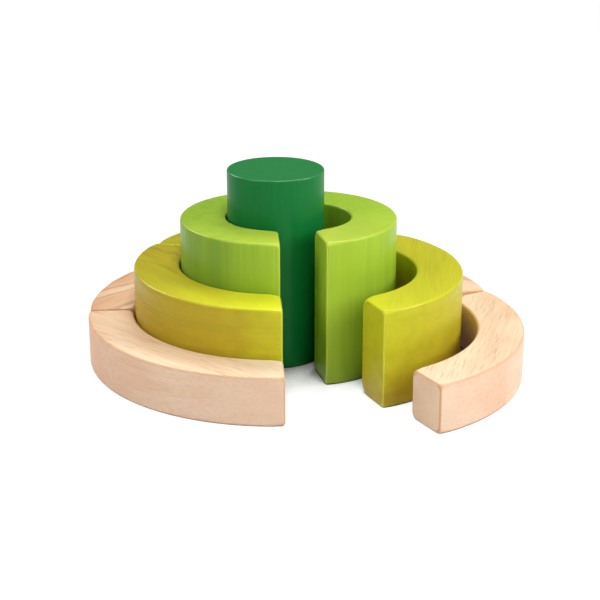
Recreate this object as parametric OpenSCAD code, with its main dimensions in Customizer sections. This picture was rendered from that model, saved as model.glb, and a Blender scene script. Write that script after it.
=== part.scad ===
// Nesting set of ten solid wooden blocks: one cylinder, and round it three rings
// cut into two halves, three thirds and four quarters. The set stands with its
// left side closed and its right side swung open.

/* [Cylinder] */
// Diameter of the cylinder in the middle
core_d = 50; // [30:1:80]
// Height of the cylinder
core_h = 100; // [80:1:140]

/* [Rings] */
// Thickness of every curved block, from its inner wall to its outer wall
wall = 23.7; // [16:0.1:32]
// Clearance between one ring and the next, and round the cylinder
ring_gap = 0.7; // [0.4:0.1:1.5]
// Height of the two half rings
half_h = 75; // [55:1:100]
// Height of the three third rings
third_h = 50; // [35:1:70]
// Height of the four quarter rings
quarter_h = 25; // [16:1:40]
// How far each end face is trimmed back from the line that divides its ring
end_trim = 0.1; // [0.05:0.05:0.5]

/* [Edges] */
// Radius along the curved edges of the blocks
edge_r = 1.3; // [0.5:0.1:2.5]
// Radius of an end face's upper, lower and outer edges
end_r = 1; // [0.6:0.1:3]
// Radius of an end face's inner upright edge, which is sanded softer
end_inner_r = 1.3; // [1:0.1:5]
// Radius round the two rims of the cylinder
core_edge_r = 0.8; // [0.3:0.1:2]

/* [Closed side] */
// How far the closed left side is turned round from straight ahead, in degrees
left_turn = 3.4; // [0:0.1:8]

/* [Open side] */
// Bearing of the back corner that the right half ring swings on
half_bearing = 75.1; // [65:0.1:85]
// How far the right half ring is swung open
half_swing = 29.4; // [20:0.1:32]
// Gap between that corner and the cylinder
half_corner_gap = 1; // [0.2:0.1:2]
// Bearing of the back corner that the right third ring swings on
third_bearing = 38.6; // [32:0.1:42]
// How far the right third ring is swung open
third_swing = 15.4; // [10:0.1:20]
// Gap between that corner and the right half ring
third_corner_gap = 0.2; // [0.1:0.1:2]
// Bearing of the back corner that the right front quarter ring swings on
quarter_bearing = 18.8; // [14:0.1:22]
// How far the right front quarter ring is swung open
quarter_swing = 10.9; // [6:0.1:16]
// Gap between that corner and the right third ring
quarter_corner_gap = 1.1; // [0.2:0.1:2]

/* [Back blocks] */
// Gap between a back block's rounded inner corners and the walls that they lean on
lean_gap = 0.2; // [0.05:0.05:0.5]
// Gap between the back third ring's left end and the left third ring's end
back_third_gap = 0.6; // [0.1:0.1:3]
// Gap between the back left quarter ring's front end and the front left quarter ring's end
back_left_gap = 0.6; // [0.1:0.1:3]
// Gap between the back right quarter ring's front end and the front right quarter ring's end
back_right_gap = 0.3; // [0.1:0.1:3]
// Gap between the back right quarter ring's front corner and the right third ring
back_right_wall_gap = 1; // [0.1:0.1:2.5]

/* [Hidden] */
$fn = 96;
core_r = core_d / 2;
half_in = core_r + ring_gap;
half_out = half_in + wall;
third_in = half_out + ring_gap;
third_out = third_in + wall;
quarter_in = third_out + ring_gap;
quarter_out = quarter_in + wall;
half_span = 360 / 2;
third_span = 360 / 3;
quarter_span = 360 / 4;
// How far an end's corner rounds stand past the walls, so that they cross them cleanly
round_over = 0.15;
// Spare length of the shapes that cut
spare = 3;
nose_depth = end_inner_r + spare;
// Degrees of wall that are searched for the place where a back block meets the next
search = 20;

// A place is the centre of a block's ring in x and y, and the bearing of its
// clockwise end. Bearings run anticlockwise from the right.
half_right_place = swung([0, 0], core_r + half_corner_gap, half_bearing,
    half_swing, half_in, half_span);
third_right_place = swung(centre(half_right_place), half_out + third_corner_gap,
    third_bearing, third_swing, third_in, third_span);
front_right_place = swung(centre(third_right_place), third_out + quarter_corner_gap,
    quarter_bearing, quarter_swing, quarter_in, quarter_span);

half_left_place = closed(half_span);
third_left_place = closed(third_span);
front_left_place = closed(quarter_span);

// Distance from a wall's centre to the centre of a corner round that leans on it
half_lean = half_out + lean_gap + end_inner_r;
third_lean = third_out + lean_gap + end_inner_r;

// Each back block at a bearing of its anticlockwise corner on the wall there
back_third_at = function (bearing)
    leaning(point([0, 0], half_lean, bearing), centre(half_right_place), half_lean,
        third_in, third_span);
back_left_at = function (bearing)
    leaning(point([0, 0], third_lean, bearing), centre(back_third_place), third_lean,
        quarter_in, quarter_span);
back_right_at = function (bearing)
    leaning(point(centre(back_third_place), third_lean, bearing), centre(third_right_place),
        third_out + back_right_wall_gap + end_inner_r, quarter_in, quarter_span);

// The back blocks slide round those walls until they meet the next block's end
back_third_place = back_third_at(crossing(
    function (bearing) back_third_gap - end_gap(
        last_end(back_third_at(bearing), third_span), third_out,
        first_end(third_left_place)),
    third_left_place.z - search, third_left_place.z));
back_left_place = back_left_at(crossing(
    function (bearing) back_left_gap - end_gap(
        last_end(back_left_at(bearing), quarter_span), quarter_out,
        first_end(front_left_place)),
    front_left_place.z - search, front_left_place.z));
back_right_place = back_right_at(crossing(
    function (bearing) end_gap(first_end(back_right_at(bearing)), quarter_out,
        last_end(front_right_place, quarter_span)) - back_right_gap,
    back_third_place.z + third_span / 2 - search, back_third_place.z + third_span / 2));

function centre(place) = [place.x, place.y];
function point(hub, reach, bearing) = hub + reach * [cos(bearing), sin(bearing)];

// Block of the closed side: its anticlockwise end faces forwards
function closed(span) = [0, 0, 270 + left_turn - span];

// Block swung open on its back inner corner, which stays beside the hub's wall
function swung(hub, reach, bearing, swing, r_in, span) =
    let (c = point(point(hub, reach, bearing), -r_in, bearing + swing))
    [c.x, c.y, bearing + swing - span];

// Block that leans on two round walls. The rounds of its inner corners have their
// centres on a circle of radius r, inset from its ends. The anticlockwise one is
// given, and the chord to the other makes a triangle with the hub of its wall.
function leaning(corner, hub, reach, r_in, span) =
    let (
        r = r_in + end_inner_r,
        inset = asin((end_trim + end_inner_r) / r),
        chord = 2 * r * sin(span / 2 - inset),
        away = hub - corner,
        apart = norm(away),
        opening = acos((chord * chord + apart * apart - reach * reach) / (2 * chord * apart)),
        start = atan2(away.y, away.x) + opening + 90 - span / 2,
        c = point(corner, -r, start + span - inset)
    )
    [c.x, c.y, start];

// A block's end: the centre of its ring, its bearing, and the bearing that leads from
// it into the block
function first_end(place) = [centre(place), place.z, place.z + 90];
function last_end(place, span) = [centre(place), place.z + span, place.z + span - 90];

// Gap between the outer corner round of one block's end and the face of another's
function end_gap(end, r_out, next) =
    let (
        along = point(end[0], r_out + round_over - end_r, end[1]),
        round_centre = point(along, end_trim + end_r, end[2])
    )
    (next[0] - round_centre) * point([0, 0], 1, next[2]) + end_trim - end_r;

// Value between low and high at which a rising function passes zero, by halving
function crossing(rising, low, high, halvings = 40) =
    let (middle = (low + high) / 2)
    halvings == 0 ? middle
    : rising(middle) < 0 ? crossing(rising, middle, high, halvings - 1)
    : crossing(rising, low, middle, halvings - 1);

// Upright section of a curved block, with its four edges rounded
module ring_section(r_in, height) {
    translate([r_in + edge_r, 0]) square([wall - 2 * edge_r, height]);
    translate([r_in, edge_r]) square([wall, height - 2 * edge_r]);
    for (x = [edge_r, wall - edge_r], z = [edge_r, height - edge_r])
        translate([r_in + x, z]) circle(edge_r);
}

// Flat outline that is rounded at its two corners on the x axis
module nose_outline(width, depth, first_r, last_r) {
    translate([first_r, 0]) square([width - first_r - last_r, depth]);
    translate([0, first_r]) square([width / 2, depth - first_r]);
    translate([width / 2, last_r]) square([width / 2, depth - last_r]);
    translate([first_r, first_r]) circle(first_r);
    translate([width - last_r, last_r]) circle(last_r);
}

// Rounded nose that a block's end keeps: rounded in plan and in elevation
module end_nose(r_in, height) {
    intersection() {
        translate([r_in - round_over, end_trim, -spare])
            linear_extrude(height + 2 * spare)
                nose_outline(wall + 2 * round_over, nose_depth, end_inner_r, end_r);
        translate([r_in - spare, end_trim, height + round_over])
            rotate([0, 90, 0])
                linear_extrude(wall + 2 * spare)
                    nose_outline(height + 2 * round_over, nose_depth, end_r, end_r);
    }
}

// What is taken off at an end that lies along the x axis
module end_cut(r_in, height) {
    difference() {
        translate([r_in - spare, -spare, -spare])
            cube([wall + 2 * spare, spare + end_trim + end_inner_r, height + 2 * spare]);
        end_nose(r_in, height);
    }
}

// One curved block, turned from its section and trimmed at both ends
module curved_block(place, r_in, height, span) {
    translate(centre(place)) rotate(place.z)
        difference() {
            rotate_extrude(angle = span) ring_section(r_in, height);
            end_cut(r_in, height);
            rotate(span) mirror([0, 1, 0]) end_cut(r_in, height);
        }
}

// Turned cylinder with rounded rims
module centre_cylinder() {
    color([0.06, 0.45, 0.22])
        rotate_extrude() {
            square([core_r - core_edge_r, core_h]);
            translate([0, core_edge_r]) square([core_r, core_h - 2 * core_edge_r]);
            for (z = [core_edge_r, core_h - core_edge_r])
                translate([core_r - core_edge_r, z]) circle(core_edge_r);
        }
}

module half_ring(place) {
    color([0.60, 0.75, 0.20]) curved_block(place, half_in, half_h, half_span);
}

module third_ring(place) {
    color([0.80, 0.79, 0.16]) curved_block(place, third_in, third_h, third_span);
}

module quarter_ring(place) {
    color([0.94, 0.80, 0.63]) curved_block(place, quarter_in, quarter_h, quarter_span);
}

centre_cylinder();
half_ring(half_left_place);  // half_ring_left
half_ring(half_right_place);  // half_ring_right
third_ring(third_left_place);  // third_ring_left
third_ring(back_third_place);  // third_ring_back
third_ring(third_right_place);  // third_ring_right
quarter_ring(front_left_place);  // quarter_ring_front_left
quarter_ring(back_left_place);  // quarter_ring_back_left
quarter_ring(back_right_place);  // quarter_ring_back_right
quarter_ring(front_right_place);  // quarter_ring_front_right
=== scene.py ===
"""Looks of a nesting set of ten wooden blocks: a cylinder and three rings cut into curved blocks.

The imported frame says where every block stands. Each block is made here as one closed surface
with sanded edges, in its own piece of hardwood, and is finished as stained or as bare wood.
"""

import math
from typing import NamedTuple

import bpy
import numpy as np
from bpy.props import FloatProperty, FloatVectorProperty, PointerProperty
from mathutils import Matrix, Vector


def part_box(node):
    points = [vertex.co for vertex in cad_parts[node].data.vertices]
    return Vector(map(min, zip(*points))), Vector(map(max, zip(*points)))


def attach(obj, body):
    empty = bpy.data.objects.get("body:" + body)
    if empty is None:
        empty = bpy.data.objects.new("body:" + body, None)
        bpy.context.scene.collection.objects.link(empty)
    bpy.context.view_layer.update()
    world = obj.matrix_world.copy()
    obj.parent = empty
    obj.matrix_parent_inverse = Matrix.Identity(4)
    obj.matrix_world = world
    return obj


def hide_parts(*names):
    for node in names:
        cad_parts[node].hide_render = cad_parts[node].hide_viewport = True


bl_info = {
    "name": "Wooden Curved Block Set",
    "version": (1, 0, 0),
    "blender": (4, 5, 0),
    "location": "3D View > Sidebar > Blocks",
    "description": "Nesting set of stained and bare hardwood blocks",
    "category": "Add Mesh",
}

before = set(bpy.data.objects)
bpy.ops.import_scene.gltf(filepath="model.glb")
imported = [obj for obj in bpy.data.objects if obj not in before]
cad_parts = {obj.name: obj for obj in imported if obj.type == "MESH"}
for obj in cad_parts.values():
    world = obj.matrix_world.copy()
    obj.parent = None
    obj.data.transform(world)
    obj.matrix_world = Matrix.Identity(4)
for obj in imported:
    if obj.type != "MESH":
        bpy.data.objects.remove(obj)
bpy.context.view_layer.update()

MM = 0.001
BODY = "root"
CYLINDER = "centre_cylinder"

# How far a block's box may differ from its CAD node's box
FIT = 0.25 * MM

UPRIGHT = np.array([0.0, 0.0, 1.0])
RIGHTWARD = np.array([1.0, 0.0, 0.0])

# Segments in a rounded corner of a block's section, and in the round of an end face
CORNER_STEPS = 6
END_STEPS = 7
# Stations along a block between its ends, and bearings round the cylinder
ARC_STATIONS = 110
CYLINDER_BEARINGS = 192
# Heights on the cylinder's side, from rim to rim
CYLINDER_HEIGHTS = 42
# Depth of the last ring of points that lies parallel to an end face, as a share of the face's round
LAST_END_RING = 1.15
# Bearing of the first radial ring, as a share of the one where that last ring meets the inner wall
FIRST_ARC_RING = 1.1
# Where a straight side of a section is split. The first and last rows lie close to the
# rounds, so that the flat between them shades flat.
SIDE_SPLITS = np.array([0.015, 0.12, 0.25, 0.38, 0.5, 0.62, 0.75, 0.88, 0.985])
# Rings of an end face as shares of its outline, and of the cylinder's top as shares of its flat
FACE_RINGS = np.array([0.3, 0.6, 0.85, 0.97])
CYLINDER_TOP_RINGS = np.array([0.08, 0.25, 0.5, 0.75, 0.92, 0.985])
# How much the long curved edges show of their rounding, beside an end face's edges
CURVED_EDGE_SHARE = 0.7
# Three crossing waves that sanding leaves, each in radians per metre along the axes
SANDING_WAVES = np.array([[210, 95, 60], [-120, 190, 140], [70, -160, 250]])

# Where the boards lie in their trees, in metres: how much further along the grain each next one
# starts, how far across the grain they swing, and how far the first one is from the heart and
# each next one further
BOARD_STEP = 0.31
BOARD_SWING = 0.028
HEART_DISTANCE = 0.05
HEART_STEP = 0.006
# Turn of that swing from one board to the next, in radians
SWING_TURN = 2.4
# How thin a finish is on sides, as a share of how thin it is on tops, where most of its painted light goes
THIN_SIDE_SHARE = 0.3


class BoardLook(NamedTuple):
    """What sets a block's board and finish apart, and the light and shade painted on it.

    A pair holds the clockwise end first, then the other end. On the cylinder these are its top
    and its foot.

    banding: how strongly the growth bands show
    dark_sides, dark_tops: how dark the board is from each end, on sides and on tops, which in part paints
    shade
    painted_foot_shade: painted shade, how much darker the sides are at the foot
    thin: how thin the finish is at each end, which also paints the stronger light on the ends that face
    the front
    """

    banding: float
    dark_sides: tuple
    dark_tops: tuple
    painted_foot_shade: float
    thin: tuple


# The darkness in this table paints shade as well as board tone, and the thin finish paints light on the
# ends that face the front as well as a thinner finish.
BOARD_LOOKS = {
    "centre_cylinder": BoardLook(0.2, (0, 0), (0, 0), 0, (0.5, 0)),
    "half_ring_left": BoardLook(0.2, (0.95, 0), (0.4, 0), 1.0, (0, 1.2)),
    "half_ring_right": BoardLook(0.2, (0, 0), (0, 0.15), 0.55, (1.5, 0)),
    "third_ring_left": BoardLook(0.6, (0.75, 0.35), (0.6, 0), 0.1, (0, 2.6)),
    "third_ring_back": BoardLook(0.35, (0.6, 0.6), (0.35, 0.35), 0.5, (0, 0)),
    "third_ring_right": BoardLook(0.15, (0, 0.25), (0, 0.2), 1.1, (1.2, 0)),
    "quarter_ring_front_left": BoardLook(0.3, (0, 0.1), (0.35, 0), 0, (0, 0.9)),
    "quarter_ring_back_left": BoardLook(1.0, (0.15, 0.15), (0.2, 0.2), 0, (0, 0)),
    "quarter_ring_back_right": BoardLook(0.9, (0.15, 0.15), (0.2, 0.2), 0, (0, 0)),
    "quarter_ring_front_right": BoardLook(0.12, (0, 0.1), (0, 0.1), 0, (0.8, 0)),
}

# What a dark board and painted shade leave of a stain's red, green and blue
DEEP_GREEN_TINT = (0.58, 0.66, 0.95)
BROWN_TINT = (0.88, 0.6, 0.92)
# What is left of them where a stain is deep, and of each in its pores
DEEP_STAIN_SHARES = (0.74, 0.8, 0.8)
PORE_STAIN_SHARE = 0.55


def linear(red, green, blue):
    """Scene colour of a screen colour that is given from 0 to 255, by the screen's standard curve."""
    screen = np.array([red, green, blue]) / 255
    low, high = screen / 12.92, ((screen + 0.055) / 1.055) ** 2.4
    return tuple(float(c) for c in np.where(screen <= 0.04045, low, high))


def length(name, description, millimetres):
    """A length that is given in millimetres and kept in metres."""
    default = millimetres * MM
    return FloatProperty(
        name=name, description=description, default=default, min=0, precision=5, unit="LENGTH"
    )


def colour(name, description, red, green, blue):
    """A colour that is given as the screen shows it."""
    default = linear(red, green, blue)
    return FloatVectorProperty(
        name=name, description=description, default=default, min=0, max=1, subtype="COLOR"
    )


class BlockSizes(bpy.types.PropertyGroup):
    """Sizes that the blocks share. Heights, the cylinder's diameter and all places are the frame's."""

    wall: length("Wall", "Thickness of every curved block", 23.7)
    ring_gap: length("Ring gap", "Clearance between one ring and the next", 0.7)
    end_trim: length("End trim", "Gap from an end face to the line that divides its ring", 0.1)
    edge_radius: length("Edge radius", "Radius along the curved edges of the blocks", 1.3)
    end_radius: length("End radius", "Radius of an end face's upper, lower and outer edges", 1)
    inner_end_radius: length("Inner end radius", "Radius of an end face's inner upright edge", 1.3)
    inner_corner_radius: length("Inner corners", "Radius of an end face's two inner corners", 4)
    third_corner_radius: length("Third ring corners", "The same on the rounder third rings", 6)
    outer_corner_radius: length("Outer corners", "Radius of an end face's two outer corners", 2.7)
    corner_reach: length("Corner reach", "How far behind an end face its corners stay soft", 7)
    rim_radius: length("Rim radius", "Radius round the two rims of the cylinder", 0.8)
    sanding_depth: length("Sanding depth", "Depth of the shallow waves that sanding leaves", 0.05)


class BlockColours(bpy.types.PropertyGroup):
    """Colours of the stains and of the bare wood."""

    dark_green: colour("Dark green", "Stain of the cylinder", 10, 119, 54)
    # Each thin colour also paints the stronger light on the ends and tops that face the front, and the
    # stained ones a highlight line along sanded edges
    thin_and_lit_dark_green: colour("Thin dark green", "Cylinder where its stain is thin", 84, 158, 98)
    mid_green: colour("Mid green", "Stain of the half rings", 162, 200, 50)
    thin_and_lit_mid_green: colour("Thin mid green", "Half rings where their stain is thin", 230, 237, 98)
    yellow_green: colour("Yellow green", "Stain of the third rings", 200, 198, 42)
    thin_and_lit_yellow_green: colour("Thin yellow green", "Third rings where their stain is thin", 240, 244, 50)
    pale_wood: colour("Pale wood", "Bare wood between its growth bands", 249, 225, 193)
    rosy_wood: colour("Rosy wood", "Bare wood cut square to its growth bands", 247, 216, 190)
    tan_wood: colour("Tan wood", "Bare wood in its growth bands", 228, 184, 142)
    late_wood: colour("Late wood", "Bare wood where a growth band ends", 188, 136, 94)
    # Also paints the stronger light on the tops of the ends that face the front
    thin_oil_and_light: colour("Thin oil", "Bare wood where its oil is thin", 255, 238, 208)
    pore: colour("Pores", "Bare wood in its pores", 182, 130, 88)
    patch_tint: colour("Patch tint", "Multiplies bare wood in broad patches", 245, 221, 206)
    dark_wood_tint: colour("Dark wood tint", "Multiplies bare wood where its board is dark", 240, 216, 190)
    end_grain_tint: colour("End grain tint", "Multiplies bare wood on its end grain", 240, 222, 208)
    edge_tint: colour("Edge tint", "Multiplies bare wood on its sanded edges", 228, 180, 134)


# Curved surfaces


def ring_inner_radius(sizes, ring):
    """Inner radius of a ring, counted from 0 outwards.

    It is the cylinder's radius and a gap, and a wall and a gap more for each ring inside it.
    """
    low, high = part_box(CYLINDER)
    return (high.x - low.x) / 2 + sizes.ring_gap + ring * (sizes.wall + sizes.ring_gap)


def node_triangles(node):
    """Corners of a CAD node's triangles, as an array of triangle, corner and coordinate."""
    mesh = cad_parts[node].data
    mesh.calc_loop_triangles()
    points = np.zeros(len(mesh.vertices) * 3, np.float32)
    mesh.vertices.foreach_get("co", points)
    corners = np.zeros(len(mesh.loop_triangles) * 3, np.int32)
    mesh.loop_triangles.foreach_get("vertices", corners)
    return points.reshape(-1, 3).astype(float)[corners].reshape(-1, 3, 3)


def resting_place(node, r_out, span):
    """Centre of the ring that a block belongs to, and the bearing of the block's clockwise end.

    Every triangle makes a tetrahedron with the origin, of volume det / 6. Their sums give the
    block's centre of mass and its spread. A block is spread least along its middle bearing, which
    points away from the set's middle, and its outer wall's furthest point there is r_out from
    the ring's centre.
    """
    triangles = node_triangles(node)
    volumes = np.einsum("ij,ij->i", triangles[:, 0], np.cross(triangles[:, 1], triangles[:, 2])) / 6
    a, b, c = np.moveaxis(triangles[:, :, :2], 1, 0)
    sums = a + b + c
    mass_centre = volumes @ sums / 4 / volumes.sum()
    squares = sum(np.einsum("n,ni,nj->ij", volumes, p, p) for p in (a, b, c, sums)) / 20
    spread = squares / volumes.sum() - np.outer(mass_centre, mass_centre)
    middle = np.linalg.eigh(spread)[1][:, 0]
    middle = middle if middle @ mass_centre > 0 else -middle
    reach = ((a - mass_centre) @ middle).max()
    hub = mass_centre - (r_out - reach) * middle
    return hub, math.atan2(middle[1], middle[0]) - span / 2


def round_inset(depth, radius):
    """How far a quarter round has drawn in at a depth t behind the face: r - sqrt(r^2 - (r - t)^2)."""
    left = np.clip(radius - depth, 0, radius)
    return radius - np.sqrt(radius**2 - left**2)


def round_share(depth, radius):
    """1 in the middle of a quarter round and 0 at both its edges: sin 2a, where cos a = 1 - t / r."""
    angle = np.arccos(np.clip(1 - depth / radius, 0, 1))
    return np.sin(2 * angle)


def corner_radii(depth, sizes, inner):
    """Radii of a section's corners at a depth behind the end face.

    They go round from the inner bottom corner to the inner top one, and pass from the edges'
    radius to that of the face's corners by (1 - depth / reach)^2. inner is the radius of the
    face's two inner corners.
    """
    share = np.clip(1 - depth / sizes.corner_reach, 0, 1)[:, None] ** 2
    outer = sizes.outer_corner_radius
    return sizes.edge_radius + share * (np.array([inner, outer, outer, inner]) - sizes.edge_radius)


def sections(low, high, bottom, top, radii):
    """Rounded rectangles of (reach, height) points, one per station, and each point's rounding.

    low to high is the reach and bottom to top the height; radii has a column for each corner,
    from the inner bottom one round to the inner top one. A corner's points are its centre plus
    its radius times (cos a, sin a) over a quarter turn, and a side's points divide the line
    between two corners.
    """
    turn = np.linspace(0, math.pi / 2, CORNER_STEPS + 1)
    arcs = []
    for corner, (reach, height, inward, up) in enumerate(
        [(low, bottom, 1, 1), (high, bottom, -1, 1), (high, top, -1, -1), (low, top, 1, -1)]
    ):
        radius = radii[:, corner, None]
        angle = turn + math.pi + corner * math.pi / 2
        x = reach[:, None] + radius * (inward + np.cos(angle))
        z = height[:, None] + radius * (up + np.sin(angle))
        arcs.append(np.stack([x, z], -1))
    parts, rounding = [], []
    for corner, arc in enumerate(arcs):
        start, end = arc[:, -1:], arcs[(corner + 1) % 4][:, :1]
        parts += [arc, start + (end - start) * SIDE_SPLITS[:, None]]
        rounding += [np.sin(2 * turn), np.zeros(len(SIDE_SPLITS))]
    return np.concatenate(parts, 1), np.concatenate(rounding)


def block_surface(r_in, r_out, height, span, sizes, inner_corner):
    """A curved block in its ring's own frame, as rings of points from end to end.

    The clockwise end lies on the x axis. At the ends the rings lie parallel to the end face, at
    depths t behind it, and there each side has drawn in as round_inset gives. Between the ends
    they lie on radial planes: (reach cos b, reach sin b, z) at a bearing b. The other end is the
    first one mirrored in the block's middle bearing. Returns the rings, the rounding of their
    points and the two middles of the end faces.
    """
    deepest = max(sizes.end_radius, sizes.inner_end_radius)
    turn = np.linspace(0, math.pi / 2, END_STEPS + 1)
    depth = deepest * np.append(1 - np.cos(turn), LAST_END_RING)
    y = sizes.end_trim + depth
    inset, inner_inset = (round_inset(depth, r) for r in (sizes.end_radius, sizes.inner_end_radius))
    outline, rounding = sections(
        np.sqrt(r_in**2 - y**2) + inner_inset,
        np.sqrt(r_out**2 - y**2) - inset,
        inset,
        height - inset,
        corner_radii(depth, sizes, inner_corner),
    )
    behind = np.broadcast_to(y[:, None], outline.shape[:2])
    end = np.stack([outline[..., 0], behind, outline[..., 1]], -1)
    end_rounding = np.maximum(rounding, round_share(depth, sizes.end_radius)[:, None])

    face = end[0]
    middle = (face.min(0) + face.max(0)) / 2
    face_rings = middle + (face - middle) * FACE_RINGS[:, None, None]
    end = np.concatenate([face_rings, end])
    end_rounding = np.concatenate([np.zeros(face_rings.shape[:2]), end_rounding])

    first = FIRST_ARC_RING * math.asin(y[-1] / r_in)
    bearings = np.linspace(first, span - first, ARC_STATIONS)[:, None]
    ones = np.ones(ARC_STATIONS)
    depth = r_in * np.minimum(bearings, span - bearings)[:, 0] - sizes.end_trim
    radii = corner_radii(depth, sizes, inner_corner)
    outline, _ = sections(r_in * ones, r_out * ones, 0 * ones, height * ones, radii)
    reach = outline[..., 0]
    arc = np.stack([reach * np.cos(bearings), reach * np.sin(bearings), outline[..., 1]], -1)

    cos, sin = math.cos(span), math.sin(span)
    mirror = np.array([[cos, sin, 0], [sin, -cos, 0], [0, 0, 1]])
    rings = np.concatenate([end, arc, (end @ mirror.T)[::-1]])
    arc_rounding = np.broadcast_to(CURVED_EDGE_SHARE * rounding, arc.shape[:2])
    rounding = np.concatenate([end_rounding, arc_rounding, end_rounding[::-1]])
    return rings, rounding, middle, mirror @ middle


def cylinder_surface(radius, height, rim):
    """A turned cylinder as rings of points from the top down, closed at both middles.

    The profile runs out over the top, round the rim by (cos a, sin a), down the side and back
    in under the base; each of its (reach, height) points goes round as (reach cos b, reach sin b).
    """
    turn = np.linspace(0, math.pi / 2, CORNER_STEPS + 1)
    flat = (radius - rim) * CYLINDER_TOP_RINGS
    down = np.linspace(height - rim, rim, CYLINDER_HEIGHTS)[1:-1]
    reach = np.concatenate([flat, radius - rim + rim * np.sin(turn), np.full(len(down), radius)])
    z = np.concatenate([np.full(len(flat), height), height - rim + rim * np.cos(turn), down])
    share = np.concatenate([0 * flat, np.sin(2 * turn), 0 * down])
    upper = len(flat) + len(turn)
    reach = np.concatenate([reach, reach[:upper][::-1]])
    z = np.concatenate([z, height - z[:upper][::-1]])
    share = np.concatenate([share, share[:upper][::-1]])
    bearing = np.linspace(0, 2 * math.pi, CYLINDER_BEARINGS, endpoint=False)
    x, y = np.outer(reach, np.cos(bearing)), np.outer(reach, np.sin(bearing))
    rings = np.stack([x, y, np.tile(z[:, None], CYLINDER_BEARINGS)], -1)
    rounding = np.tile(share[:, None], CYLINDER_BEARINGS)
    return rings, rounding, np.array([0, 0, height]), np.zeros(3)


def closed_mesh(name, rings, first_middle, last_middle):
    """A mesh of quads between neighbouring rings, closed at each end by a fan round a middle point."""
    count, around = rings.shape[:2]
    index = np.arange(count * around).reshape(count, around)
    turned = np.roll(index, -1, 1)
    quads = np.stack([index[:-1], index[1:], turned[1:], turned[:-1]], -1).reshape(-1, 4)
    first, last = count * around, count * around + 1
    first_fan = np.stack([np.full(around, first), index[0], turned[0]], -1)
    last_fan = np.stack([np.full(around, last), turned[-1], index[-1]], -1)
    points = np.concatenate([rings.reshape(-1, 3), [first_middle, last_middle]])
    corners = np.concatenate([quads.ravel(), first_fan.ravel(), last_fan.ravel()])
    sides = np.repeat([4, 3], [len(quads), 2 * around])
    mesh = bpy.data.meshes.new(name)
    mesh.vertices.add(len(points))
    mesh.vertices.foreach_set("co", points.astype(np.float32).ravel())
    mesh.loops.add(len(corners))
    mesh.loops.foreach_set("vertex_index", corners.astype(np.int32))
    mesh.polygons.add(len(sides))
    mesh.polygons.foreach_set("loop_start", (np.cumsum(sides) - sides).astype(np.int32))
    mesh.update(calc_edges=True)
    mesh.shade_smooth()
    if mesh.validate():
        raise RuntimeError(f"{name}: the surface has broken faces")
    return mesh


def vertex_normals(mesh):
    """Outward direction at every vertex."""
    normals = np.zeros(len(mesh.vertices) * 3, np.float32)
    mesh.vertex_normals.foreach_get("vector", normals)
    return normals.reshape(-1, 3).astype(float)


def sand(mesh, points, depth):
    """Draws the surface in by shallow waves.

    They are depth times the mean of three crossing sines, shifted to lie from 0 to 1.
    """
    height = np.sin(points @ SANDING_WAVES.T).mean(1) / 2 + 0.5
    sanded = points - vertex_normals(mesh) * (depth * height)[:, None]
    mesh.vertices.foreach_set("co", sanded.astype(np.float32).ravel())
    mesh.update()


def set_attribute(mesh, name, kind, values):
    """Stores a number or a vector at every vertex, for the materials to read."""
    attribute = mesh.attributes.new(name, kind, "POINT")
    key = "vector" if kind == "FLOAT_VECTOR" else "value"
    attribute.data.foreach_set(key, np.asarray(values, np.float32).ravel())


def fade(share):
    """Falls from 1 to 0 over the last quarter of the way: t^2 (3 - 2 t), with t = 4 (1 - s) up to 1."""
    left = np.clip(4 * (1 - share), 0, 1)
    return left**2 * (3 - 2 * left)


def set_board(mesh, points, node, grain, across):
    """Stores where each point lies in its board, and how the surface there is cut.

    The board's axes run along the grain, across it and through it, and are measured from the
    heart of the tree. Each board starts further along and lies elsewhere round the heart, so
    that no two blocks show the same figure. The end cut is the square of the outward
    direction's share along the grain, and the flat cut that of its share through the board.
    """
    number = sorted(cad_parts).index(node)
    through = np.cross(grain, across)
    axes = np.stack([grain, across, through])
    middle = (points.min(0) + points.max(0)) / 2
    swing = BOARD_SWING * math.sin(SWING_TURN * number)
    start = np.array([BOARD_STEP * number, swing, HEART_DISTANCE + HEART_STEP * number])
    outward = vertex_normals(mesh)
    set_attribute(mesh, "board", "FLOAT_VECTOR", (points - middle) @ axes.T + start)
    set_attribute(mesh, "end_cut", "FLOAT", (outward @ grain) ** 2)
    set_attribute(mesh, "flat_cut", "FLOAT", (outward @ through) ** 2)


def set_tones(mesh, points, node, share):
    """Stores how strongly a board's bands show, how dark it is, with painted shade, and how thin its
    finish is, with painted light.

    share is each point's part s of the way from the clockwise end to the other, or down the
    cylinder. The darkness is a fade(s) + b fade(1 - s), and on sides painted shade at the foot adds to
    it by (1 - z / height)^2. The finish is thin by a (1 - s)^2 + b s^2, most on tops, and paints light
    there.
    """
    look = BOARD_LOOKS[node]
    flatness = vertex_normals(mesh)[:, 2] ** 2
    near, far = fade(share), fade(1 - share)
    sides, tops = (a * near + b * far for a, b in (look.dark_sides, look.dark_tops))
    low, high = points[:, 2].min(), points[:, 2].max()
    # Painted shade: darker towards the foot, where neighbouring blocks shade the sides
    foot = look.painted_foot_shade * ((high - points[:, 2]) / (high - low)) ** 2
    dark = (sides + foot) * (1 - flatness) + tops * flatness
    # A thinner finish at the chosen ends, which also paints the stronger light there
    thin = look.thin[0] * (1 - share) ** 2 + look.thin[1] * share**2
    thin *= THIN_SIDE_SHARE + (1 - THIN_SIDE_SHARE) * flatness
    set_attribute(mesh, "banding", "FLOAT", np.full(len(points), look.banding))
    set_attribute(mesh, "dark_board_and_painted_shade", "FLOAT", dark)
    set_attribute(mesh, "thin_finish_and_painted_light", "FLOAT", thin)


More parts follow.
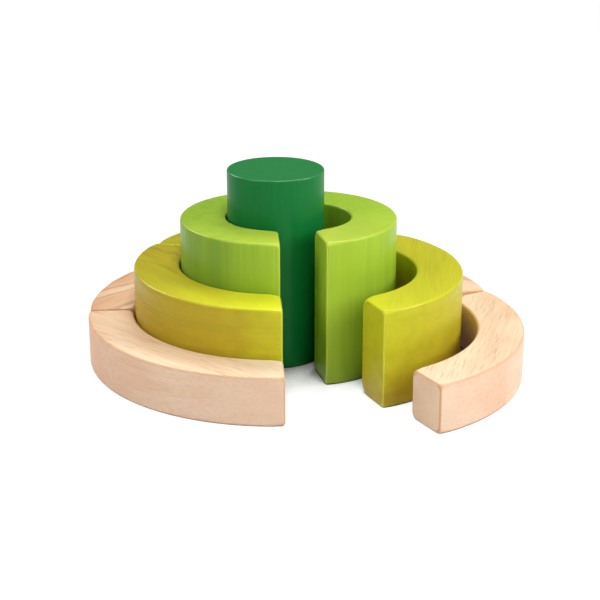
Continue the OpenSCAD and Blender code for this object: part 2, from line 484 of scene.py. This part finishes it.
def finish_piece(node, mesh, slot, material):
    """Puts a block in its CAD node's place, body and finish, and checks that its box fits."""
    mesh.materials.append(material)
    piece = bpy.data.objects.new(mesh.name, mesh)
    bpy.context.scene.collection.objects.link(piece)
    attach(piece, BODY)
    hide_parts(node)
    box = np.array([piece.bound_box[0], piece.bound_box[6]])
    miss = np.abs(box - np.array(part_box(node))).max()
    if miss > FIT:
        raise RuntimeError(f"{mesh.name} is {miss / MM:.2f} mm off the box of {node}")


def add_block(node, rings, rounding, middles, board, share, sizes, finish):
    """Makes one block from its rings of points, with all that its finish reads.

    board holds the directions along its grain and across it, share is as set_tones says, and
    finish holds a slot's name, which is not used, and the material.
    """
    mesh = closed_mesh(f"{node}_block", rings, *middles)
    points = np.concatenate([rings.reshape(-1, 3), middles])
    set_board(mesh, points, node, *board)
    set_tones(mesh, points, node, share)
    set_attribute(mesh, "rounding", "FLOAT", np.append(rounding.ravel(), [0, 0]))
    sand(mesh, points, sizes.sanding_depth)
    finish_piece(node, mesh, *finish)


def add_curved_blocks(sizes, stem, finish, ring, parts, inner_corner, upright_grain=False):
    """Makes every block of one ring. Its wood runs upright, or along the chord from end to end."""
    r_in = ring_inner_radius(sizes, ring)
    r_out = r_in + sizes.wall
    span = 2 * math.pi / parts
    for node in sorted(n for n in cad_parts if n.startswith(stem)):
        low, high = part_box(node)
        height = high.z - low.z
        hub, start = resting_place(node, r_out, span)
        rings, rounding, *middles = block_surface(r_in, r_out, height, span, sizes, inner_corner)
        share = np.append(np.arctan2(rings[..., 1], rings[..., 0]).ravel() / span, [0, 1])
        cos, sin = math.cos(start), math.sin(start)
        turn = np.array([[cos, -sin, 0], [sin, cos, 0], [0, 0, 1]])
        shift = np.array([*hub, low.z])
        rings, *middles = (p @ turn.T + shift for p in (rings, *middles))
        chord = middles[1] - middles[0]
        chord /= np.linalg.norm(chord)
        board = (UPRIGHT, chord) if upright_grain else (chord, np.cross(UPRIGHT, chord))
        add_block(node, rings, rounding, middles, board, share, sizes, finish)


def add_cylinder(sizes, finish):
    """Makes the turned cylinder, whose wood runs upright."""
    low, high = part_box(CYLINDER)
    radius, height = (high.x - low.x) / 2, high.z - low.z
    rings, rounding, *middles = cylinder_surface(radius, height, sizes.rim_radius)
    share = np.append(1 - rings[..., 2].ravel() / height, [0, 1])
    shift = np.array([(low.x + high.x) / 2, (low.y + high.y) / 2, low.z])
    rings, *middles = (p + shift for p in (rings, *middles))
    board = (UPRIGHT, RIGHTWARD)
    add_block(CYLINDER, rings, rounding, middles, board, share, sizes, finish)


# Finishes

# Sizes in the wood along its grain, across it and through the board
FIBRE_SIZE = (26 * MM, 1.0 * MM, 1.0 * MM)
STREAK_SIZE = (70 * MM, 6 * MM, 6 * MM)
PORE_SPACING = (18 * MM, 0.7 * MM, 0.7 * MM)
# How far a growth band wanders, and the level of growth at which a band ends
BAND_WANDER = 9 * MM
BAND_END = 0.51
# How fine the noise is in the growth, its wandering, the patches and the clusters of pores
GROWTH_SCALE = 230
WANDER_SCALE = 24
PATCH_SCALE = 42
CLUSTER_SCALE = 30
# How much the way along the grain counts in the bands' tubes, their wandering and the patches
TUBE_STRETCH = 0.03
WANDER_STRETCH = 0.3
PATCH_STRETCH = 0.4
# How far the relief of each finish goes in
OIL_RELIEF = 0.05 * MM
LACQUER_RELIEF = 0.03 * MM
# Power that narrows a sanded edge's pale line, which is thin stain and a painted highlight, the lacquer's
# gloss on flats, and what an edge adds
EDGE_NARROWING = 2.5
FLAT_GLOSS = 0.09
EDGE_GLOSS = 0.75


class Pattern:
    """Adds nodes to a material. Each call gives the new node's output socket."""

    def __init__(self, tree):
        self.tree = tree

    def add(self, kind, output, inputs, **settings):
        """Adds one node, sets it, and fills its inputs with sockets or values."""
        node = self.tree.nodes.new(kind)
        for name, value in settings.items():
            setattr(node, name, value)
        for name, value in inputs.items():
            if isinstance(value, bpy.types.NodeSocket):
                self.tree.links.new(value, node.inputs[name])
            else:
                node.inputs[name].default_value = value
        return node.outputs[output]

    def attribute(self, name, output):
        """A value that the mesh stores at its vertices."""
        return self.add("ShaderNodeAttribute", output, {}, attribute_name=name)

    def math(self, operation, *numbers):
        """One sum with two or three numbers."""
        return self.add("ShaderNodeMath", 0, dict(enumerate(numbers)), operation=operation)

    def vector(self, operation, a, b, output="Vector"):
        """One sum with two vectors."""
        return self.add("ShaderNodeVectorMath", output, {0: a, 1: b}, operation=operation)

    def drawn_out(self, board, share):
        """A place in a board that counts only by a share along the grain, which draws a pattern out."""
        return self.vector("MULTIPLY", board, (share, 1, 1))

    def noise(self, place, scale, detail):
        """Soft noise in three dimensions, from 0 to 1."""
        inputs = {"Vector": place, "Scale": scale, "Detail": detail}
        return self.add("ShaderNodeTexNoise", "Fac", inputs)

    def ramp(self, value, low, high, start=0.0, end=1.0):
        """Goes smoothly from start to end while the value goes from low to high."""
        inputs = {"Value": value, "From Min": low, "From Max": high, "To Min": start, "To Max": end}
        return self.add("ShaderNodeMapRange", "Result", inputs, interpolation_type="SMOOTHSTEP")

    def blend(self, amount, base, over, mode="MIX"):
        """Lays one colour over another. Sockets 6, 7 and 2 are the colours that a Mix node works on."""
        inputs = {0: amount, 6: base, 7: over}
        return self.add("ShaderNodeMix", 2, inputs, data_type="RGBA", blend_type=mode)

    def layers(self, shade, rows):
        """Lays tones over a colour, row by row. A row holds how far its tone shows, the tone, and
        how it is laid: MIX covers what is below, and MULTIPLY tints it."""
        for amount, tone, mode in rows:
            shade = self.blend(amount, shade, opaque(tone), mode)
        return shade


def opaque(rgb):
    """A colour with its alpha."""
    return (*rgb, 1.0)


class WoodFigure:
    """What hardwood shows on a cut surface, as sockets that the finishes read.

    Everything is read off the place in the board and the surface's other stored numbers. All
    run from 0 to 1, apart from dark_board_and_painted_shade and thin_finish_and_painted_light, which pass
    1 where they are strong.

    bands: growth bands, which are tubes round the heart of the tree that wander a little
    late_wood: the thin dark line where a band ends
    fibres: fine streaks, drawn out along the grain
    pores: open vessels, which show as short dashes along the grain and as dots on end grain
    patches: broad, soft changes of tone
    streaks: long changes of tone that follow the grain
    end_cut: how squarely the surface cuts the fibres
    flat_cut: how flat the surface lies in the board's own plane
    dark_board_and_painted_shade: how dark the board is, with painted shade at the foot and at some ends
    thin_finish_and_painted_light: how thin its stain or oil is, which also paints light on the ends that
    face the front
    rounding: where an edge is rounded
    """

    def __init__(self, pattern):
        board = pattern.attribute("board", "Vector")
        self.end_cut = pattern.attribute("end_cut", "Fac")
        self.flat_cut = pattern.attribute("flat_cut", "Fac")
        self.dark_board_and_painted_shade = pattern.attribute("dark_board_and_painted_shade", "Fac")
        self.thin_finish_and_painted_light = pattern.attribute("thin_finish_and_painted_light", "Fac")
        self.rounding = pattern.attribute("rounding", "Fac")

        wander = pattern.noise(pattern.drawn_out(board, WANDER_STRETCH), WANDER_SCALE, 3)
        tube = pattern.drawn_out(board, TUBE_STRETCH)
        from_heart = pattern.vector("LENGTH", tube, (0, 0, 0), "Value")
        depth = pattern.math("ADD", from_heart, pattern.math("MULTIPLY", wander, BAND_WANDER))
        growth_inputs = {"W": depth, "Scale": GROWTH_SCALE, "Detail": 2}
        growth = pattern.add("ShaderNodeTexNoise", "Fac", growth_inputs, noise_dimensions="1D")
        banding = pattern.attribute("banding", "Fac")
        shown = pattern.math("MULTIPLY", banding, pattern.ramp(self.flat_cut, 0, 1, 0.45, 1))
        self.bands = pattern.math("MULTIPLY", pattern.ramp(growth, 0.4, 0.62), shown)
        from_end = pattern.math("ABSOLUTE", pattern.math("SUBTRACT", growth, BAND_END))
        self.late_wood = pattern.math("MULTIPLY", pattern.ramp(from_end, 0.03, 0.008), shown)

        fibres = pattern.noise(pattern.vector("DIVIDE", board, FIBRE_SIZE), 1, 3)
        contrast = pattern.ramp(self.end_cut, 0, 0.5, 1, 0.45)
        from_middle = pattern.math("SUBTRACT", fibres, 0.5)
        self.fibres = pattern.math("MULTIPLY_ADD", from_middle, contrast, 0.5)
        self.patches = pattern.noise(pattern.drawn_out(board, PATCH_STRETCH), PATCH_SCALE, 2)
        self.streaks = pattern.noise(pattern.vector("DIVIDE", board, STREAK_SIZE), 1, 3)

        cells = {"Vector": pattern.vector("DIVIDE", board, PORE_SPACING), "Scale": 1.0}
        centre_distance = pattern.add("ShaderNodeTexVoronoi", "Distance", cells)
        cell_colour = pattern.add("ShaderNodeTexVoronoi", "Color", cells)
        lot = pattern.add("ShaderNodeSeparateColor", "Red", {"Color": cell_colour})
        clusters = pattern.noise(board, CLUSTER_SCALE, 1)
        is_open = pattern.math("LESS_THAN", lot, pattern.ramp(clusters, 0.38, 0.56, 0.1, 1.0))
        pores = pattern.math("MULTIPLY", pattern.ramp(centre_distance, 0.34, 0.16), is_open)
        self.pores = pattern.math("MULTIPLY", pores, pattern.ramp(self.flat_cut, 0.2, 1, 0.25, 1))


def new_material(name):
    """An empty node material with its surface shader and its pattern."""
    material = bpy.data.materials.new(name)
    material.use_nodes = True
    material.node_tree.nodes.clear()
    shader = material.node_tree.nodes.new("ShaderNodeBsdfPrincipled")
    output = material.node_tree.nodes.new("ShaderNodeOutputMaterial")
    material.node_tree.links.new(shader.outputs["BSDF"], output.inputs["Surface"])
    return material, shader, Pattern(material.node_tree)


def set_surface(pattern, shader, shade, roughness, relief, depth):
    """Feeds a shader its colour, roughness and relief. depth is how far the relief goes in."""
    bump_inputs = {"Height": relief, "Distance": depth, "Strength": 1.0}
    bump = pattern.add("ShaderNodeBump", "Normal", bump_inputs)
    for name, socket in (("Base Color", shade), ("Roughness", roughness), ("Normal", bump)):
        pattern.tree.links.new(socket, shader.inputs[name])


def bare_hardwood(colours):
    """Oiled pale hardwood: cream, with tan bands and late wood, brown pores and darker end grain."""
    material, shader, pattern = new_material("oiled_pale_hardwood")
    wood = WoodFigure(pattern)
    shade = pattern.layers(
        pattern.blend(wood.flat_cut, opaque(colours.rosy_wood), opaque(colours.pale_wood)),
        [
            (pattern.math("MULTIPLY", wood.bands, 0.8), colours.tan_wood, "MIX"),
            (pattern.math("MULTIPLY", wood.late_wood, 0.45), colours.late_wood, "MIX"),
            (pattern.ramp(wood.fibres, 0.42, 0.68, 0, 0.36), colours.tan_wood, "MIX"),
            (pattern.ramp(wood.patches, 0.38, 0.66, 0, 0.6), colours.patch_tint, "MULTIPLY"),
            (pattern.math("MULTIPLY", wood.dark_board_and_painted_shade, 0.5), colours.dark_wood_tint, "MULTIPLY"),
            (pattern.ramp(wood.end_cut, 0.3, 0.95, 0, 0.6), colours.end_grain_tint, "MULTIPLY"),
            # Thin oil, which also paints the stronger light on the front ends
            (pattern.math("MULTIPLY", wood.thin_finish_and_painted_light, 0.5), colours.thin_oil_and_light, "MIX"),
            (pattern.math("MULTIPLY", wood.pores, 0.52), colours.pore, "MIX"),
            (pattern.math("MULTIPLY", wood.rounding, 0.6), colours.edge_tint, "MULTIPLY"),
        ],
    )
    roughness = pattern.ramp(wood.fibres, 0.3, 0.7, 0.5, 0.62)
    hollow = pattern.math("MULTIPLY", wood.pores, -1.0)
    relief = pattern.math("MULTIPLY_ADD", wood.fibres, 0.15, hollow)
    set_surface(pattern, shader, shade, roughness, relief, OIL_RELIEF)
    shader.inputs["Specular IOR Level"].default_value = 0.3
    return material


def stained_hardwood(name, stain, thin_stain_and_painted_light, dark_tint):
    """Stained and lacquered hardwood: deeper in the pores and streaks, paler along the sanded edges as
    thinner stain and a painted highlight line, and tinted where the board under the stain is dark and by
    painted shade."""
    material, shader, pattern = new_material(name)
    wood = WoodFigure(pattern)
    deep = tuple(c * share for c, share in zip(stain, DEEP_STAIN_SHARES))
    pore = tuple(c * PORE_STAIN_SHARE for c in stain)
    streakiness = pattern.ramp(wood.streaks, 0.35, 0.62, 0.82, 1.15)
    darkness = pattern.math("MULTIPLY", wood.dark_board_and_painted_shade, streakiness)
    edge = pattern.math("POWER", wood.rounding, EDGE_NARROWING)
    shade = pattern.layers(
        opaque(stain),
        [
            (pattern.math("MULTIPLY", wood.bands, 0.5), deep, "MIX"),
            (pattern.math("MULTIPLY", wood.late_wood, 0.8), pore, "MIX"),
            (pattern.ramp(wood.fibres, 0.4, 0.72, 0, 0.4), deep, "MIX"),
            (pattern.ramp(wood.streaks, 0.45, 0.68, 0, 0.32), deep, "MIX"),
            # Board darkness and painted shade
            (darkness, dark_tint, "MULTIPLY"),
            # Thin stain, which also paints the stronger light on the front ends
            (pattern.math("MULTIPLY", wood.thin_finish_and_painted_light, 0.3), thin_stain_and_painted_light, "MIX"),
            (pattern.math("MULTIPLY", wood.pores, 0.22), pore, "MIX"),
            # Pale line on sanded edges: thinner stain and a painted highlight
            (pattern.math("MULTIPLY", edge, 0.45), thin_stain_and_painted_light, "MIX"),
        ],
    )
    roughness = pattern.ramp(wood.fibres, 0.3, 0.75, 0.32, 0.44)
    hollow = pattern.math("MULTIPLY", wood.pores, -0.5)
    relief = pattern.math("MULTIPLY_ADD", wood.fibres, 0.3, hollow)
    set_surface(pattern, shader, shade, roughness, relief, LACQUER_RELIEF)
    gloss = pattern.math("MULTIPLY_ADD", edge, EDGE_GLOSS, FLAT_GLOSS)
    pattern.tree.links.new(gloss, shader.inputs["Coat Weight"])
    shader.inputs["Coat Roughness"].default_value = 0.07
    shader.inputs["Specular IOR Level"].default_value = 0.1
    return material


# Stage

# Place in metres, tilt down and focal length in millimetres that give the photograph's view
CAMERA_PLACE = Vector((0.0125, -0.7542, 0.2970))
CAMERA_PITCH = math.radians(19.58)
CAMERA_LENS = 91.3
WORLD_STRENGTH = 0.1
FLOOR_HALF = 6.0
# The floor's plain white and the most that shows of it, its paper in the open, the dark paper that paints
# shade in narrow gaps, and how far round itself it looks for blocks that close it in
PLAIN_WHITE = 1.16
WHITE_SHARE = 0.82
OPEN_PAPER = (0.8, 0.8, 0.79)
PAINTED_GAP_SHADE = (0.08, 0.06, 0.05)
GAP_REACH = 60 * MM
# Each softbox's place, its width and depth, and its power in watts
SOFTBOXES = {
    "right_softbox": ((0.9, -0.2, 0.5), (0.5, 0.5), 5.8),
    "left_softbox": ((-0.8, -0.6, 0.6), (0.5, 0.5), 3.7),
    "front_softbox": ((0.6, -0.9, 0.3), (0.5, 0.4), 1.6),
    "overhead_softbox": ((0.1, -0.3, 0.8), (0.14, 0.1), 2.0),
    "back_left_softbox": ((-0.7, 0.6, 0.7), (0.5, 0.5), 3.9),
    "back_softbox": ((0.1, 0.6, 1.0), (0.6, 0.4), 5.2),
}
# The point that every softbox faces
SOFTBOX_TARGET = Vector((0.02, 0, 0.04))


def floor_material():
    """A white paper floor.

    What the camera and reflections see of it is mostly plain white, so that it has no horizon,
    and the rest is its own shading, which keeps the blocks' shadow. In narrow gaps it is all that, on
    paper darkened there to paint deeper shade.
    """
    material = bpy.data.materials.new("white_paper_floor")
    material.use_nodes = True
    pattern = Pattern(material.node_tree)
    material.node_tree.nodes.clear()
    seen = seen_directly(pattern)
    openness = pattern.add("ShaderNodeAmbientOcclusion", "AO", {"Distance": GAP_REACH})
    share = pattern.math("MULTIPLY", seen, pattern.ramp(openness, 0.16, 0.36, 0, WHITE_SHARE))
    # Painted shade: the paper is made dark in narrow gaps
    in_open = pattern.ramp(openness, 0.05, 0.32)
    shaded = pattern.blend(in_open, opaque(PAINTED_GAP_SHADE), opaque(OPEN_PAPER))
    paper = pattern.add("ShaderNodeBsdfDiffuse", "BSDF", {"Color": shaded})
    white = pattern.add("ShaderNodeEmission", "Emission", {"Strength": PLAIN_WHITE})
    mixed = pattern.add("ShaderNodeMixShader", "Shader", {0: share, 1: paper, 2: white})
    output = material.node_tree.nodes.new("ShaderNodeOutputMaterial")
    material.node_tree.links.new(mixed, output.inputs["Surface"])
    return material


def seen_directly(pattern):
    """1 for rays from the camera and for reflected or refracted ones, 0 for rays that gather light."""
    path = pattern.tree.nodes.new("ShaderNodeLightPath")
    seen = pattern.math("MAXIMUM", path.outputs["Is Camera Ray"], path.outputs["Is Glossy Ray"])
    return pattern.math("MAXIMUM", seen, path.outputs["Is Transmission Ray"])


def add_floor():
    """A flat square far wider than the set."""
    corners = [(-FLOOR_HALF, -FLOOR_HALF, 0), (FLOOR_HALF, -FLOOR_HALF, 0)]
    corners += [(FLOOR_HALF, FLOOR_HALF, 0), (-FLOOR_HALF, FLOOR_HALF, 0)]
    mesh = bpy.data.meshes.new("studio_floor")
    mesh.from_pydata(corners, [], [(0, 1, 2, 3)])
    mesh.materials.append(floor_material())
    floor = bpy.data.objects.new("studio_floor", mesh)
    bpy.context.scene.collection.objects.link(floor)


def add_softboxes():
    """Rectangular lamps round the set, each facing its middle."""
    for name, (place, (width, depth), power) in SOFTBOXES.items():
        lamp = bpy.data.lights.new(name, "AREA")
        lamp.shape = "RECTANGLE"
        lamp.size, lamp.size_y, lamp.energy = width, depth, power
        softbox = bpy.data.objects.new(name, lamp)
        softbox.location = place
        facing = SOFTBOX_TARGET - softbox.location
        softbox.rotation_euler = facing.to_track_quat("-Z", "Y").to_euler()
        bpy.context.scene.collection.objects.link(softbox)


def add_world():
    """Soft even light from all round. All that the camera sees behind the set is the floor."""
    world = bpy.data.worlds.new("studio_world")
    world.use_nodes = True
    pattern = Pattern(world.node_tree)
    world.node_tree.nodes.clear()
    inputs = {"Color": opaque((1, 1, 1)), "Strength": WORLD_STRENGTH}
    background = pattern.add("ShaderNodeBackground", "Background", inputs)
    output = world.node_tree.nodes.new("ShaderNodeOutputWorld")
    world.node_tree.links.new(background, output.inputs["Surface"])
    bpy.context.scene.world = world


def add_camera():
    """The camera at the photograph's distance, height, pitch and angle of view."""
    camera = bpy.data.objects.new("camera", bpy.data.cameras.new("camera"))
    camera.data.lens = CAMERA_LENS
    camera.location = CAMERA_PLACE
    camera.rotation_euler = (math.pi / 2 - CAMERA_PITCH, 0, 0)
    bpy.context.scene.collection.objects.link(camera)
    bpy.context.scene.camera = camera


# Operators


class BLOCKSET_OT_centre_cylinder(bpy.types.Operator):
    """Adds the dark green cylinder in the middle"""

    bl_idname = "blockset.centre_cylinder"
    bl_label = "Centre cylinder"

    def execute(self, context):
        colours = context.scene.block_colours
        material = stained_hardwood(
            "dark_green_lacquer", colours.dark_green, colours.thin_and_lit_dark_green, DEEP_GREEN_TINT
        )
        add_cylinder(context.scene.block_sizes, ("dark_green_paint", material))
        return {"FINISHED"}


class BLOCKSET_OT_half_rings(bpy.types.Operator):
    """Adds the two mid green half rings"""

    bl_idname = "blockset.half_rings"
    bl_label = "Half rings"

    def execute(self, context):
        sizes, colours = context.scene.block_sizes, context.scene.block_colours
        material = stained_hardwood(
            "mid_green_lacquer", colours.mid_green, colours.thin_and_lit_mid_green, DEEP_GREEN_TINT
        )
        finish = ("mid_green_paint", material)
        corner = sizes.inner_corner_radius
        add_curved_blocks(
            sizes, "half_ring", finish, ring=0, parts=2, inner_corner=corner, upright_grain=True
        )
        return {"FINISHED"}


class BLOCKSET_OT_third_rings(bpy.types.Operator):
    """Adds the three yellow green third rings"""

    bl_idname = "blockset.third_rings"
    bl_label = "Third rings"

    def execute(self, context):
        sizes, colours = context.scene.block_sizes, context.scene.block_colours
        material = stained_hardwood(
            "yellow_green_lacquer", colours.yellow_green, colours.thin_and_lit_yellow_green, BROWN_TINT
        )
        finish = ("yellow_green_paint", material)
        corner = sizes.third_corner_radius
        add_curved_blocks(sizes, "third_ring", finish, ring=1, parts=3, inner_corner=corner)
        return {"FINISHED"}


class BLOCKSET_OT_quarter_rings(bpy.types.Operator):
    """Adds the four bare quarter rings"""

    bl_idname = "blockset.quarter_rings"
    bl_label = "Quarter rings"

    def execute(self, context):
        sizes = context.scene.block_sizes
        finish = ("natural_wood", bare_hardwood(context.scene.block_colours))
        corner = sizes.inner_corner_radius
        add_curved_blocks(sizes, "quarter_ring", finish, ring=2, parts=4, inner_corner=corner)
        return {"FINISHED"}


class BLOCKSET_OT_stage(bpy.types.Operator):
    """Adds the floor, the lamps, the even light and the camera"""

    bl_idname = "blockset.stage"
    bl_label = "Stage"

    def execute(self, context):
        add_floor()
        add_world()
        add_softboxes()
        add_camera()
        context.scene.view_settings.view_transform = "Standard"
        return {"FINISHED"}


class BLOCKSET_PT_sidebar(bpy.types.Panel):
    """Sizes, colours and pieces of the block set"""

    bl_idname = "BLOCKSET_PT_sidebar"
    bl_label = "Curved block set"
    bl_space_type = "VIEW_3D"
    bl_region_type = "UI"
    bl_category = "Blocks"

    def draw(self, context):
        for group in (context.scene.block_sizes, context.scene.block_colours):
            box = self.layout.box()
            for name in group.__annotations__:
                box.prop(group, name)
        for operator in PIECE_OPERATORS:
            self.layout.operator(operator.bl_idname)


PIECE_OPERATORS = (
    BLOCKSET_OT_centre_cylinder,
    BLOCKSET_OT_half_rings,
    BLOCKSET_OT_third_rings,
    BLOCKSET_OT_quarter_rings,
    BLOCKSET_OT_stage,
)
CLASSES = (BlockSizes, BlockColours, *PIECE_OPERATORS, BLOCKSET_PT_sidebar)


def register():
    """Registers the classes and gives every scene its sizes and colours."""
    for each in CLASSES:
        bpy.utils.register_class(each)
    bpy.types.Scene.block_sizes = PointerProperty(type=BlockSizes)
    bpy.types.Scene.block_colours = PointerProperty(type=BlockColours)


def unregister():
    """Takes away what register added."""
    del bpy.types.Scene.block_colours
    del bpy.types.Scene.block_sizes
    for each in reversed(CLASSES):
        bpy.utils.unregister_class(each)


def main():
    """Makes the whole set and its stage."""
    register()
    bpy.ops.blockset.centre_cylinder()
    bpy.ops.blockset.half_rings()
    bpy.ops.blockset.third_rings()
    bpy.ops.blockset.quarter_rings()
    bpy.ops.blockset.stage()


if __name__ == "__main__":
    main()
